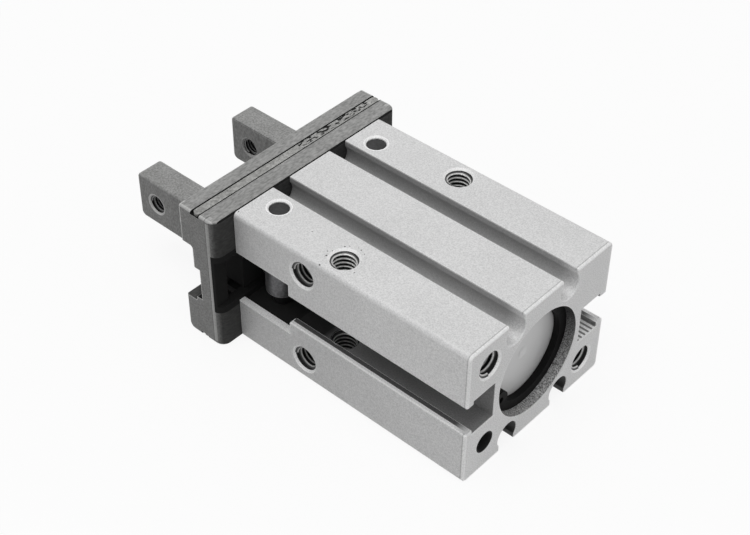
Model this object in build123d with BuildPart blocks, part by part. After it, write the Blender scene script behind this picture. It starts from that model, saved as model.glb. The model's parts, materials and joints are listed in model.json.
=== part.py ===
import os
from math import asin, cos, degrees, radians, sin

from build123d import *

os.makedirs("parts", exist_ok=True)

# Frame: the origin is the centre of the rear face, on the cylinder axis.
# +X runs forward to the fingertips, +Y is the way the left finger opens, +Z is up.

# Body, an extruded aluminium block
body_length = 42.5
body_width = 30.6
body_height = 23.6
body_edge_radius = 0.8
edge_break = 0.2
end_break = 0.15

# Round-bottomed grooves for the position switches, two above and two below
groove_diameter = 4.0
groove_mouth = 3.2
groove_depth = 4.1
groove_offset = 5.8

# Lipped slots along the two sides, opened out at the front to make room for the levers
slot_mouth = 5.0
slot_height = 6.2
slot_lip = 1.4
slot_wall = 0.6
window_height = 9.3
window_lip = 1.15
chamber_height = 10.4
chamber_depth = 10.4

# Cylinder, bored from the rear
bore_diameter = 16.0
register_step = 0.5
register_depth = 1.65
retainer_thickness = 1.0
retainer_play = 0.05
retainer_groove_depth = 0.4
retainer_width = 1.85
cap_thickness = 4.0
rod_diameter = 6.0
rod_passage_diameter = 8.0

# Piston stack, from the rear forward
piston_gap = 0.45
piston_length = 9.6
bumper_gap = 0.45
bumper_thickness = 1.1
bumper_diameter = 12.0
rod_cover_length = 5.5
spigot_diameter = 4.0
ring_section = 1.4
ring_sides = 8
seal_width = 2.2
seal_depth = 1.9
magnet_width = 3.0
magnet_depth = 1.7

# Clearances, each on one side
bore_clearance = 0.1
fit_clearance = 0.05
running_clearance = 0.03
seat_clearance = 0.02

# Threads are bored at their nominal size and countersunk at the mouth
mount_thread = 4.0
port_thread = 5.0
finger_thread = 3.0
guide_thread = 2.5
joint_thread = 3.0
thread_mouth = 0.3
rear_thread_y = 11.0
rear_thread_z = 7.5
rear_thread_depth = 8.0
dowel_diameter = 3.0
dowel_depth = 6.0
dowel_z = 7.0
top_thread_from_front = 18.05
top_thread_y = 12.0
side_thread_from_front = 13.1
side_thread_z = 8.0
side_thread_depth = 4.5
port_z = 7.5
port_depth = 4.5
open_port_x = 8.0
close_port_x = 19.0
air_passage_diameter = 1.6
air_passage_z = 6.4
open_passage_shift = -0.4
close_passage_shift = 1.2

# Bell-crank levers on their shafts
pivot_from_front = 3.9
pivot_y = 10.1
shaft_diameter = 3.0
shaft_recess = 0.3
hub_diameter = 5.0
hub_height = 6.0
arm_height = 4.0
outer_reach = 6.8
outer_end_diameter = 3.0
inner_reach = 6.2
inner_end_diameter = 2.8
arm_root_width = 3.4
arm_neck_width = 1.9
arm_neck_share = 0.66

# Joint on the rod's end
joint_width = 11.2
joint_height = 8.0
joint_core = 4.6
joint_rear_wall = 2.0
joint_front_wall = 1.2
joint_bolt_head = 5.2
joint_bolt_length = 10.0

# Guide plate across the front
guide_thickness = 7.2
guide_width = 38.0
guide_sink = 0.05
guide_rear_radius = 1.5
guide_toe_radius = 1.1
guide_edge_radius = 0.35
rear_channel_depth = 0.8
front_channel_depth = 2.3
front_channel_height = 10.4
front_channel_radius = 0.5
front_step_depth = 1.1
front_step_top = 1.3
front_step_bottom = 4.4
strip_width = 1.25
strip_depth = 0.5
strip_from_rear = 3.85
strip_rear_gap = 0.08
strip_front_gap = 0.15
guide_screw_y = 13.3
guide_screw_from_edge = 3.35
guide_screw_head = 4.5
guide_screw_head_height = 2.5
guide_screw_engagement = 6.0
screw_socket = 2.0
screw_socket_depth = 1.3

# Fingers and the cross rollers that carry them
finger_gap = 14.9
finger_stroke = 3.0
finger_thickness = 4.7
finger_width = 8.0
finger_projection = 17.6
finger_edge_radius = 0.5
finger_toe_radius = 1.0
finger_hole_pitch = 7.0
finger_hole_from_tip = 4.0
slider_inner_y = 1.2
slider_length = 12.1
slider_rear_gap = 1.0
slider_front_gap = 0.2
slider_clearance = 0.15
slider_end_clearance = 0.3
roller_diameter = 1.5
roller_length = 2.4
roller_pitch = 1.9
rollers_per_track = 5
roller_lift = 0.1
roller_from_rear = 2.85
stopper_length = 0.8

# Heights and half sizes that several pieces share
half_width = body_width / 2
half_height = body_height / 2
bore_radius = bore_diameter / 2
register_radius = bore_radius + register_step
retainer_groove_radius = register_radius + retainer_groove_depth
slot_floor_y = retainer_groove_radius + slot_wall
groove_z = half_height - groove_depth + groove_diameter / 2
guide_half_height = half_height - guide_sink
guide_screw_z = guide_half_height - guide_screw_from_edge
guide_rear_x = body_length
guide_front_x = guide_rear_x + guide_thickness
tip_x = guide_front_x + finger_projection

# Lever motion: the outer end swings evenly to both sides of straight ahead
swing = asin(finger_stroke / 2 / outer_reach)
piston_stroke = 2 * inner_reach * sin(swing)
pivot_x = body_length - pivot_from_front
outer_end_x = pivot_x + outer_reach * cos(swing)
outer_end_y = pivot_y - outer_reach * sin(swing)
inner_end_x = pivot_x - inner_reach * sin(swing)
inner_end_y = pivot_y - inner_reach * cos(swing)

# Places along the cylinder
retainer_groove_end = register_depth + retainer_thickness + 2 * retainer_play
cap_rear_x = retainer_groove_end
cap_front_x = cap_rear_x + cap_thickness
piston_rear_x = cap_front_x + piston_gap
piston_front_x = piston_rear_x + piston_length
bumper_rear_x = piston_front_x + piston_stroke + bumper_gap
rod_cover_rear_x = bumper_rear_x + bumper_thickness
rod_cover_front_x = rod_cover_rear_x + rod_cover_length
chamber_rear_x = body_length - chamber_depth
joint_slot_half = inner_end_diameter / 2 + fit_clearance
joint_rear_x = inner_end_x - joint_slot_half - joint_rear_wall
joint_front_x = inner_end_x + joint_slot_half + joint_front_wall

# Places across the guide
slider_rear_x = guide_rear_x + slider_rear_gap
slider_front_x = guide_front_x - front_channel_depth - slider_front_gap
slider_outer_y = slider_inner_y + slider_length
guide_slot_half = slider_outer_y + finger_stroke + slider_end_clearance
guide_slot_z = finger_width / 2 + slider_clearance
blade_inner_y = finger_gap / 2
blade_outer_y = blade_inner_y + finger_thickness
roller_x = guide_rear_x + roller_from_rear
roller_z = finger_width / 2 + roller_lift
roller_radius = roller_diameter / 2
roller_span = (rollers_per_track - 1) * roller_pitch + roller_diameter
track_half = roller_length / 2 + fit_clearance
track_floor_z = roller_z - roller_radius - seat_clearance
track_roof_z = roller_z + roller_radius + seat_clearance
slider_track_length = roller_span + finger_stroke / 2 + 2 * slider_clearance
slider_track_y = slider_inner_y + (slider_length - slider_track_length) / 2
first_roller_y = slider_track_y + slider_track_length - slider_clearance - roller_span + roller_radius
guide_track_y = first_roller_y - roller_radius - slider_clearance
stopper_y = first_roller_y + roller_span - roller_radius + finger_stroke / 2 + slider_end_clearance


def both(value):
    return (-value, value)


def turned(points, mode=Mode.ADD):
    """Revolve an outline of (x, radius) points about the cylinder axis."""
    with BuildSketch(Plane.XZ) as outline:
        with BuildLine():
            Polyline(*points, close=True)
        make_face()
    revolve(outline.sketch, axis=Axis.X, mode=mode)


def ring(x, centre_radius, section):
    """A sealing ring about the cylinder axis, its section flattened where it is squeezed."""
    with BuildSketch(Plane.XZ) as outline:
        with Locations((x, centre_radius)):
            RegularPolygon(section / 2, ring_sides, major_radius=False, rotation=180 / ring_sides)
    revolve(outline.sketch, axis=Axis.X)


def drill(origin, inward, diameter, depth, mouth=0.0):
    """A blind hole from a face, widened to a short cone where a mouth is given."""
    with Locations(Plane(origin=origin, z_dir=inward)):
        Cylinder(diameter / 2, depth, align=(Align.CENTER, Align.CENTER, Align.MIN), mode=Mode.SUBTRACT)
        if mouth:
            Cone(diameter / 2 + mouth, diameter / 2, mouth,
                 align=(Align.CENTER, Align.CENTER, Align.MIN), mode=Mode.SUBTRACT)


def block(x_span, y_span, z_span, mode=Mode.ADD):
    """A box between two limits on each axis."""
    low = (x_span[0], y_span[0], z_span[0])
    with Locations(low):
        Box(x_span[1] - x_span[0], y_span[1] - y_span[0], z_span[1] - z_span[0],
            align=(Align.MIN, Align.MIN, Align.MIN), mode=mode)


def finish(piece, name):
    piece.part.label = name
    export_step(piece.part, f"parts/{name}.step")


# Body
with BuildPart() as body:
    with BuildSketch(Plane.YZ) as section:
        RectangleRounded(body_width, body_height, body_edge_radius)
        for side in (-1, 1):
            for level in (-1, 1):
                with Locations((side * groove_offset, level * groove_z)):
                    Circle(groove_diameter / 2, mode=Mode.SUBTRACT)
                with Locations((side * groove_offset, level * (groove_z + half_height) / 2)):
                    Rectangle(groove_mouth, half_height - groove_z, mode=Mode.SUBTRACT)
            slot_depth = half_width - slot_lip - slot_floor_y
            with Locations((side * (slot_floor_y + slot_depth / 2), 0)):
                Rectangle(slot_depth, slot_height, mode=Mode.SUBTRACT)
            with Locations((side * (half_width - slot_lip / 2), 0)):
                Rectangle(slot_lip, slot_mouth, mode=Mode.SUBTRACT)
        top_lips = section.vertices().filter_by(lambda v: abs(abs(v.Y) - half_height) < edge_break)
        side_lips = section.vertices().filter_by(lambda v: abs(abs(v.X) - half_width) < edge_break)
        mouths = top_lips.filter_by(lambda v: abs(v.X) < groove_offset + groove_mouth)
        mouths += side_lips.filter_by(lambda v: abs(v.Y) < slot_mouth)
        fillet(mouths, edge_break)
    extrude(amount=body_length)
    end_faces = body.faces().filter_by(Axis.X)
    chamfer(end_faces.edges(), end_break)
    turned([(-1, 0), (-1, register_radius), (register_depth, register_radius),
            (register_depth, retainer_groove_radius), (retainer_groove_end, retainer_groove_radius),
            (retainer_groove_end, register_radius), (cap_front_x, register_radius),
            (cap_front_x, bore_radius), (rod_cover_front_x, bore_radius),
            (rod_cover_front_x, rod_passage_diameter / 2),
            (chamber_rear_x + 1, rod_passage_diameter / 2), (chamber_rear_x + 1, 0)], Mode.SUBTRACT)
    chamber_x = (chamber_rear_x, body_length + 1)
    inner_y = half_width - window_lip
    block(chamber_x, both(inner_y), both(chamber_height / 2), Mode.SUBTRACT)
    block(chamber_x, both(half_width + 1), both(window_height / 2), Mode.SUBTRACT)
    for side in (-1, 1):
        drill((pivot_x, side * pivot_y, half_height), (0, 0, -1), shaft_diameter + 2 * seat_clearance,
              body_height, edge_break)
        drill((pivot_x, side * pivot_y, -half_height), (0, 0, 1), shaft_diameter + 2 * seat_clearance,
              shaft_recess, edge_break)
        for level in (-1, 1):
            drill((body_length - top_thread_from_front, side * top_thread_y, level * half_height),
                  (0, 0, -level), mount_thread, half_height, thread_mouth)
            drill((body_length - side_thread_from_front, side * half_width, level * side_thread_z),
                  (0, -side, 0), mount_thread, side_thread_depth, thread_mouth)
            drill((body_length, side * guide_screw_y, level * guide_screw_z), (-1, 0, 0),
                  guide_thread + 2 * fit_clearance, guide_screw_engagement + 1)
        drill((0, side * rear_thread_y, side * rear_thread_z), (1, 0, 0), mount_thread,
              rear_thread_depth, thread_mouth)
    drill((0, rear_thread_y, -dowel_z), (1, 0, 0), dowel_diameter, dowel_depth)
    for port_x, shift in ((open_port_x, open_passage_shift), (close_port_x, close_passage_shift)):
        drill((port_x, -half_width, port_z), (0, 1, 0), port_thread, port_depth, thread_mouth)
        drill((port_x + shift, -half_width + port_depth, air_passage_z), (0, 1, 0), air_passage_diameter,
              half_width - port_depth - bore_radius / 2)
finish(body, "body")

# Rear cap, its sealing ring and the retaining ring that holds it in
cap_radius = register_radius - fit_clearance
cap_ring_radius = register_radius - seat_clearance - ring_section / 2
cap_ring_x = (cap_rear_x + cap_front_x) / 2
cap_groove_radius = cap_ring_radius - ring_section / 2 - seat_clearance
groove_half = ring_section / 2 + fit_clearance
dimple_radius = 1.0
dimple_depth = 0.25
cap_relief_radius = 4.5
cap_relief_depth = 0.8
with BuildPart() as end_cap:
    turned([(cap_rear_x + dimple_depth, 0), (cap_rear_x, dimple_radius),
            (cap_rear_x, cap_radius - edge_break), (cap_rear_x + edge_break, cap_radius),
            (cap_ring_x - groove_half, cap_radius), (cap_ring_x - groove_half, cap_groove_radius),
            (cap_ring_x + groove_half, cap_groove_radius), (cap_ring_x + groove_half, cap_radius),
            (cap_front_x, cap_radius), (cap_front_x, cap_relief_radius),
            (cap_front_x - cap_relief_depth, cap_relief_radius), (cap_front_x - cap_relief_depth, 0)])
finish(end_cap, "end_cap")

with BuildPart() as end_cap_ring:
    ring(cap_ring_x, cap_ring_radius, ring_section)
finish(end_cap_ring, "end_cap_ring")

retainer_radius = retainer_groove_radius - fit_clearance
retainer_inner = retainer_radius - retainer_width
retainer_gap_angle = -12.0
retainer_gap_half = 15.0
ear_radius = 1.45
ear_hole = 1.0
ear_centre = retainer_radius - 1.75
ear_angle = 27.0
with BuildPart() as retaining_ring:
    retainer_x = register_depth + retainer_play
    with BuildSketch(Plane.YZ.offset(retainer_x)):
        Circle(retainer_radius)
        Circle(retainer_inner, mode=Mode.SUBTRACT)
        with BuildLine():
            reach = 2 * retainer_radius
            lower = radians(retainer_gap_angle - retainer_gap_half)
            upper = radians(retainer_gap_angle + retainer_gap_half)
            Polyline((0, 0), (reach * cos(lower), reach * sin(lower)),
                     (reach * cos(upper), reach * sin(upper)), close=True)
        make_face(mode=Mode.SUBTRACT)
        for turn in both(ear_angle):
            heading = radians(retainer_gap_angle + turn)
            with Locations((ear_centre * cos(heading), ear_centre * sin(heading))):
                Circle(ear_radius)
                Circle(ear_hole / 2, mode=Mode.SUBTRACT)
    extrude(amount=retainer_thickness)
finish(retaining_ring, "retaining_ring")

# Piston, its seal and magnet, on the rod
piston_radius = bore_radius - bore_clearance
spigot_radius = spigot_diameter / 2
seal_x = piston_rear_x + piston_length * 0.66
magnet_x = piston_rear_x + piston_length * 0.3
seal_floor = bore_radius - seal_depth
magnet_floor = bore_radius - magnet_depth
piston_chamfer = 0.4
with BuildPart() as piston:
    turned([(piston_rear_x, spigot_radius), (piston_rear_x, piston_radius - piston_chamfer),
            (piston_rear_x + piston_chamfer, piston_radius),
            (magnet_x - magnet_width / 2, piston_radius), (magnet_x - magnet_width / 2, magnet_floor),
            (magnet_x + magnet_width / 2, magnet_floor), (magnet_x + magnet_width / 2, piston_radius),
            (seal_x - seal_width / 2, piston_radius), (seal_x - seal_width / 2, seal_floor),
            (seal_x + seal_width / 2, seal_floor), (seal_x + seal_width / 2, piston_radius),
            (piston_front_x - piston_chamfer, piston_radius),
            (piston_front_x, piston_radius - piston_chamfer), (piston_front_x, spigot_radius)])
finish(piston, "piston")

seal_half = seal_width / 2 - fit_clearance
seal_outer = bore_radius - running_clearance
lip_depth = 0.7
lip_width = 0.5
with BuildPart() as piston_seal:
    turned([(seal_x - seal_half, seal_floor + seat_clearance),
            (seal_x - seal_half, seal_outer - lip_width), (seal_x - seal_half + lip_width, seal_outer),
            (seal_x + seal_half, seal_outer), (seal_x + seal_half, seal_outer - lip_width),
            (seal_x + seal_half - lip_depth, (seal_outer + seal_floor) / 2),
            (seal_x + seal_half, seal_floor + lip_width), (seal_x + seal_half, seal_floor + seat_clearance)])
finish(piston_seal, "piston_seal")

magnet_half = magnet_width / 2 - fit_clearance
with BuildPart() as piston_magnet:
    turned([(magnet_x - magnet_half, magnet_floor + seat_clearance),
            (magnet_x - magnet_half, piston_radius - fit_clearance),
            (magnet_x + magnet_half, piston_radius - fit_clearance),
            (magnet_x + magnet_half, magnet_floor + seat_clearance)])
finish(piston_magnet, "piston_magnet")

rod_radius = rod_diameter / 2
joint_bolt_radius = joint_thread / 2
bolt_tip_x = joint_front_x - joint_bolt_length
with BuildPart() as piston_rod:
    turned([(piston_rear_x + piston_chamfer, 0), (piston_rear_x + piston_chamfer, spigot_radius - seat_clearance),
            (piston_front_x, spigot_radius - seat_clearance), (piston_front_x, rod_radius),
            (joint_rear_x, rod_radius), (joint_rear_x, joint_bolt_radius + fit_clearance),
            (bolt_tip_x - fit_clearance, joint_bolt_radius + fit_clearance),
            (bolt_tip_x - fit_clearance - joint_bolt_radius, 0)])
finish(piston_rod, "piston_rod")

# Rod cover with its seals, and the bumper in front of which the piston stops
cover_radius = bore_radius - fit_clearance
cover_ring_radius = bore_radius - seat_clearance - ring_section / 2
cover_ring_x = (rod_cover_rear_x + rod_cover_front_x) / 2
cover_groove_radius = cover_ring_radius - ring_section / 2 - seat_clearance
cover_bore = rod_radius + running_clearance
rod_seal_outer = rod_radius + 2.0
rod_seal_length = 2.4
with BuildPart() as rod_cover:
    turned([(rod_cover_rear_x, rod_seal_outer), (rod_cover_rear_x, cover_radius),
            (cover_ring_x - groove_half, cover_radius), (cover_ring_x - groove_half, cover_groove_radius),
            (cover_ring_x + groove_half, cover_groove_radius), (cover_ring_x + groove_half, cover_radius),
            (rod_cover_front_x, cover_radius), (rod_cover_front_x, cover_bore),
            (rod_cover_rear_x + rod_seal_length, cover_bore),
            (rod_cover_rear_x + rod_seal_length, rod_seal_outer)])
finish(rod_cover, "rod_cover")

with BuildPart() as rod_cover_ring:
    ring(cover_ring_x, cover_ring_radius, ring_section)
finish(rod_cover_ring, "rod_cover_ring")

rod_seal_rear_x = rod_cover_rear_x + fit_clearance
rod_seal_front_x = rod_cover_rear_x + rod_seal_length - fit_clearance
with BuildPart() as rod_seal:
    turned([(rod_seal_rear_x, cover_bore), (rod_seal_rear_x, cover_bore + lip_width),
            (rod_seal_rear_x + lip_depth, (cover_bore + rod_seal_outer) / 2),
            (rod_seal_rear_x, rod_seal_outer - lip_width), (rod_seal_rear_x, rod_seal_outer - seat_clearance),
            (rod_seal_front_x, rod_seal_outer - seat_clearance), (rod_seal_front_x, cover_bore)])
finish(rod_seal, "rod_seal")

with BuildPart() as bumper:
    turned([(bumper_rear_x, rod_radius + bore_clearance), (bumper_rear_x, bumper_diameter / 2),
            (rod_cover_rear_x, bumper_diameter / 2), (rod_cover_rear_x, rod_radius + bore_clearance)])
finish(bumper, "bumper")

# Joint: a block with a pocket in each side for the levers' inner ends
joint_core_half = joint_core / 2
joint_half = joint_width / 2
arm_half = arm_height / 2
pocket_half_height = arm_half + bore_clearance
head_radius = joint_bolt_head / 2
with BuildPart() as joint:
    block((joint_rear_x, joint_front_x), both(joint_half), both(joint_height / 2))
    chamfer(joint.edges().filter_by(Axis.X), 2 * edge_break)
    for side in (-1, 1):
        pocket = sorted((side * joint_core_half, side * (joint_half + 1)))
        block((inner_end_x - joint_slot_half, inner_end_x + joint_slot_half), pocket,
              both(pocket_half_height), Mode.SUBTRACT)
    drill((joint_front_x, 0, 0), (-1, 0, 0), joint_thread + 2 * fit_clearance, joint_front_x - joint_rear_x,
          head_radius - joint_bolt_radius)
finish(joint, "joint")

head_height = head_radius - joint_bolt_radius
with BuildPart() as joint_bolt:
    turned([(joint_front_x, 0), (joint_front_x, head_radius - fit_clearance),
            (joint_front_x - head_height, joint_bolt_radius - fit_clearance),
            (bolt_tip_x + edge_break, joint_bolt_radius - fit_clearance),
            (bolt_tip_x, joint_bolt_radius - fit_clearance - edge_break), (bolt_tip_x, 0)])
    with BuildSketch(Plane.YZ.offset(joint_front_x)):
        RegularPolygon(screw_socket / 2, 6, major_radius=False)
    extrude(amount=-screw_socket_depth, mode=Mode.SUBTRACT)
finish(joint_bolt, "joint_bolt")


def arm(reach, end_diameter, heading):
    """One tapered lever arm with a round end, drawn outward from the pivot at its resting angle."""
    neck = reach * arm_neck_share
    along = (cos(radians(heading)), sin(radians(heading)), 0)
    with BuildSketch(Plane(origin=(pivot_x, pivot_y, -arm_half), x_dir=along, z_dir=(0, 0, 1))) as outline:
        with BuildLine():
            Polyline((0, -arm_root_width / 2), (neck, -arm_neck_width / 2), (reach, -arm_neck_width / 2),
                     (reach, arm_neck_width / 2), (neck, arm_neck_width / 2), (0, arm_root_width / 2),
                     close=True)
        make_face()
        with Locations((reach, 0)):
            Circle(end_diameter / 2)
    extrude(outline.sketch, amount=arm_height)


# Levers, drawn with the fingers closed
with BuildPart() as lever_left:
    with Locations((pivot_x, pivot_y, 0)):
        Cylinder(hub_diameter / 2, hub_height)
    arm(outer_reach, outer_end_diameter, -degrees(swing))
    arm(inner_reach, inner_end_diameter, -90 - degrees(swing))
    with Locations((pivot_x, pivot_y, 0)):
        Cylinder(shaft_diameter / 2 + running_clearance, hub_height, mode=Mode.SUBTRACT)
finish(lever_left, "lever_left")

with BuildPart() as lever_right:
    mirror(lever_left.part, about=Plane.XZ)
finish(lever_right, "lever_right")

for name, side in (("lever_shaft_left", 1), ("lever_shaft_right", -1)):
    with BuildPart() as lever_shaft:
        with Locations((pivot_x, side * pivot_y, 0)):
            Cylinder(shaft_diameter / 2, body_height - 2 * shaft_recess)
        chamfer(lever_shaft.edges().filter_by(GeomType.CIRCLE), edge_break / 2)
    finish(lever_shaft, name)

# Guide plate: a through slot for the sliders, a shallow channel behind and a stepped one in front
strip_x = (guide_rear_x + strip_from_rear - strip_width / 2, guide_rear_x + strip_from_rear + strip_width / 2)
channel_floor_x = guide_front_x - front_channel_depth
step_floor_x = channel_floor_x - front_step_depth
guide_half = guide_width / 2
counterbore_radius = guide_screw_head / 2 + edge_break
counterbore_floor_x = guide_front_x - guide_screw_head_height - edge_break
with BuildPart() as guide:
    block((guide_rear_x, guide_front_x), both(guide_half), both(guide_half_height))
    fillet(guide.edges().filter_by(Axis.Z).group_by(Axis.X)[0], guide_rear_radius)
    front_rims = guide.faces().sort_by(Axis.X)[-1].edges().filter_by(Axis.Y)
    fillet(front_rims.sort_by(Axis.Z)[0], guide_toe_radius)
    fillet(guide.edges().filter_by(lambda e: e.bounding_box().min.X > guide_rear_x), guide_edge_radius)
    block((guide_rear_x - 1, guide_rear_x + rear_channel_depth), both(guide_half + 1), both(guide_slot_z),
          Mode.SUBTRACT)
    block((guide_rear_x, guide_front_x), both(guide_slot_half), both(guide_slot_z), Mode.SUBTRACT)
    with BuildSketch(Plane.XZ.offset(-guide_half - 1)):
        with Locations((guide_front_x, 0)):
            RectangleRounded(2 * front_channel_depth, front_channel_height, front_channel_radius)
    extrude(amount=guide_width + 2, mode=Mode.SUBTRACT)
    for side in (-1, 1):
        step_y = sorted((side * guide_slot_half, side * (guide_half + 1)))
        step_z = sorted((side * front_step_top, -side * front_step_bottom))
        block((step_floor_x, guide_front_x), step_y, step_z, Mode.SUBTRACT)
        track_y = sorted((side * guide_track_y, side * guide_slot_half))
        block((roller_x - track_half, roller_x + track_half), track_y, both(track_roof_z), Mode.SUBTRACT)
        for level in (-1, 1):
            drill((guide_front_x, side * guide_screw_y, level * guide_screw_z), (-1, 0, 0),
                  guide_thread + 2 * bore_clearance, guide_thickness)
            drill((guide_front_x, side * guide_screw_y, level * guide_screw_z), (-1, 0, 0),
                  2 * counterbore_radius, guide_front_x - counterbore_floor_x)
    for level in (-1, 1):
        groove = sorted((level * (guide_half_height - strip_depth), level * (guide_half_height + 1)))
        block((strip_x[0] - strip_rear_gap, strip_x[1] + strip_front_gap), both(guide_half + 1), groove,
              Mode.SUBTRACT)
finish(guide, "guide")

# Narrow closing strips let into the guide's top and bottom edges
with BuildPart() as guide_strips:
    for level in (-1, 1):
        strip_floor = guide_half_height - strip_depth + seat_clearance
        strip_z = sorted((level * strip_floor, level * (guide_half_height - seat_clearance)))
        block(strip_x, both(guide_half - edge_break), strip_z)
    fillet(guide_strips.edges().filter_by(Axis.Z), strip_width / 2 - fit_clearance)
finish(guide_strips, "guide_strips")

with BuildPart() as guide_screws:
    screw_half = guide_thread / 2
    for side in (-1, 1):
        for level in (-1, 1):
            with Locations(Plane(origin=(counterbore_floor_x, side * guide_screw_y, level * guide_screw_z),
                                 z_dir=(1, 0, 0))):
                Cylinder(guide_screw_head / 2, guide_screw_head_height,
                         align=(Align.CENTER, Align.CENTER, Align.MIN))
                Cylinder(screw_half, counterbore_floor_x - guide_rear_x + guide_screw_engagement,
                         align=(Align.CENTER, Align.CENTER, Align.MAX))
    heads = guide_screws.faces().filter_by(Axis.X).group_by(Axis.X)[-1]
    chamfer(heads.edges(), edge_break)
    with BuildSketch(Plane.YZ.offset(counterbore_floor_x + guide_screw_head_height)):
        with GridLocations(2 * guide_screw_y, 2 * guide_screw_z, 2, 2):
            RegularPolygon(screw_socket / 2, 6, major_radius=False)
    extrude(amount=-screw_socket_depth, mode=Mode.SUBTRACT)
finish(guide_screws, "guide_screws")

# Fingers: a blade in front and a slider in the guide, with a pocket for the lever's outer end
end_pocket_half = outer_end_diameter / 2 + fit_clearance
end_pocket_front_x = pivot_x + outer_reach + outer_end_diameter / 2 + bore_clearance
with BuildPart() as finger_left:
    block((slider_front_x - finger_edge_radius, tip_x), (blade_inner_y, blade_outer_y), both(finger_width / 2))
    tip_edges = finger_left.faces().sort_by(Axis.X)[-1].edges()
    fillet(tip_edges.filter_by(Axis.Y).sort_by(Axis.Z)[0], finger_toe_radius)
    blade_edges = finger_left.edges().filter_by(lambda e: e.bounding_box().max.X > slider_front_x)
    fillet(blade_edges, finger_edge_radius)
    block((slider_rear_x, slider_front_x), (slider_inner_y, slider_outer_y), both(finger_width / 2))
    block((slider_rear_x - 1, end_pocket_front_x),
          (outer_end_y - end_pocket_half, outer_end_y + end_pocket_half), both(pocket_half_height), Mode.SUBTRACT)
    for level in (-1, 1):
        track_z = sorted((level * track_floor_z, level * (finger_width / 2 + 1)))
        block((roller_x - track_half, roller_x + track_half),
              (slider_track_y, slider_track_y + slider_track_length), track_z, Mode.SUBTRACT)
    for step in range(2):
        hole_x = tip_x - finger_hole_from_tip - step * finger_hole_pitch
        drill((hole_x, blade_outer_y, 0), (0, -1, 0), finger_thread, finger_thickness, edge_break)
        drill((hole_x, blade_inner_y, 0), (0, 1, 0), finger_thread, finger_thickness / 2, edge_break)
finish(finger_left, "finger_left")

with BuildPart() as finger_right:
    mirror(finger_left.part, about=Plane.XZ)
finish(finger_right, "finger_right")

for name, side in (("rollers_left", 1), ("rollers_right", -1)):
    with BuildPart() as rollers:
        for level in (-1, 1):
            for index in range(rollers_per_track):
                centre_y = side * (first_roller_y + index * roller_pitch)
                with Locations(Plane(origin=(roller_x, centre_y, level * roller_z), z_dir=(1, 0, 0))):
                    Cylinder(roller_radius, roller_length)
    finish(rollers, name)

with BuildPart() as roller_stoppers:
    for side in (-1, 1):
        for level in (-1, 1):
            stopper_span = sorted((side * stopper_y, side * (stopper_y + stopper_length)))
            stopper_z = sorted((level * guide_slot_z, level * (track_roof_z - seat_clearance)))
            block((roller_x - roller_length / 2, roller_x + roller_length / 2), stopper_span, stopper_z)
finish(roller_stoppers, "roller_stoppers")

print(f"swing {degrees(swing):.2f} deg each way, piston stroke {piston_stroke:.3f} mm, length {tip_x:.1f} mm")
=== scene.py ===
import json
from math import cos, pi, radians, sin

import bmesh
import bpy
from mathutils import Matrix, Vector


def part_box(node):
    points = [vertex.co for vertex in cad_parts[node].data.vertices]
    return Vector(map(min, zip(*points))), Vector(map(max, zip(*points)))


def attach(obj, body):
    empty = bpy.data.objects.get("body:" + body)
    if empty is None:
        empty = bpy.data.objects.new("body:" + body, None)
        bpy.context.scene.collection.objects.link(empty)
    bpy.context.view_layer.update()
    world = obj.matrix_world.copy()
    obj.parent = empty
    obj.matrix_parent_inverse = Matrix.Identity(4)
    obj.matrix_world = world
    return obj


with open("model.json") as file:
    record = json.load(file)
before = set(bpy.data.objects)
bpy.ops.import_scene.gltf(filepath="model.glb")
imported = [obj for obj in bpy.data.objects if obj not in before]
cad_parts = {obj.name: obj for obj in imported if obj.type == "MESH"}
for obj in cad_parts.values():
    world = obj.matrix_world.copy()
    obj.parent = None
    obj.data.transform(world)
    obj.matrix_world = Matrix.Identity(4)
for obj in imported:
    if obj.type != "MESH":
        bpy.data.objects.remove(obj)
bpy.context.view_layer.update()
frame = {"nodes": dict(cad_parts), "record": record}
cadNodes = frame["nodes"]
bodyLow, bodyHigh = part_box("body")
mm = 0.001
print("frame loaded")

# The camera first: where the photograph was taken from
cameraView = {
    "target": (25 * mm, 0, 0),      # a point on the cylinder's axis
    "azimuth": 221.701,             # degrees, 0 looks along +Y
    "elevation": 41.385,
    "roll": 0.455,
    "distance": 213.053 * mm,
    "slideRight": 3.48 * mm,        # the picture's centre, seen from the target
    "slideUp": -1.612 * mm,
    "focal": 1484.77,               # in pixels of a picture 750 wide
    "pictureWidth": 750,
    "sensor": 36.0,
    "clip": (0.005, 20),
}


def placeCamera(v):
    a, e, r = radians(v["azimuth"]), radians(v["elevation"]), radians(v["roll"])
    back = Vector((sin(a) * cos(e), -cos(a) * cos(e), sin(e)))
    level = Vector((cos(a), sin(a), 0))
    upright = back.cross(level)
    right = level * cos(r) + upright * sin(r)
    up = upright * cos(r) - level * sin(r)
    spot = Vector(v["target"]) + back * v["distance"] - right * v["slideRight"] - up * v["slideUp"]
    turn = Matrix((right, up, back)).transposed().to_4x4()
    data = bpy.data.cameras.new("camera")
    data.sensor_width = v["sensor"]
    data.lens = v["focal"] / v["pictureWidth"] * v["sensor"]
    data.clip_start, data.clip_end = v["clip"]
    camera = bpy.data.objects.new("camera", data)
    camera.matrix_world = Matrix.Translation(spot) @ turn
    bpy.context.scene.collection.objects.link(camera)
    bpy.context.scene.camera = camera


placeCamera(cameraView)
print("camera placed")


# Small tools for building a material's nodes
def newFinish(name):
    material = bpy.data.materials.new(name)
    material.use_nodes = True
    tree = material.node_tree
    tree.nodes.clear()
    output = tree.nodes.new("ShaderNodeOutputMaterial")
    shader = tree.nodes.new("ShaderNodeBsdfPrincipled")
    tree.links.new(shader.outputs[0], output.inputs[0])
    return material, tree, shader


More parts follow.
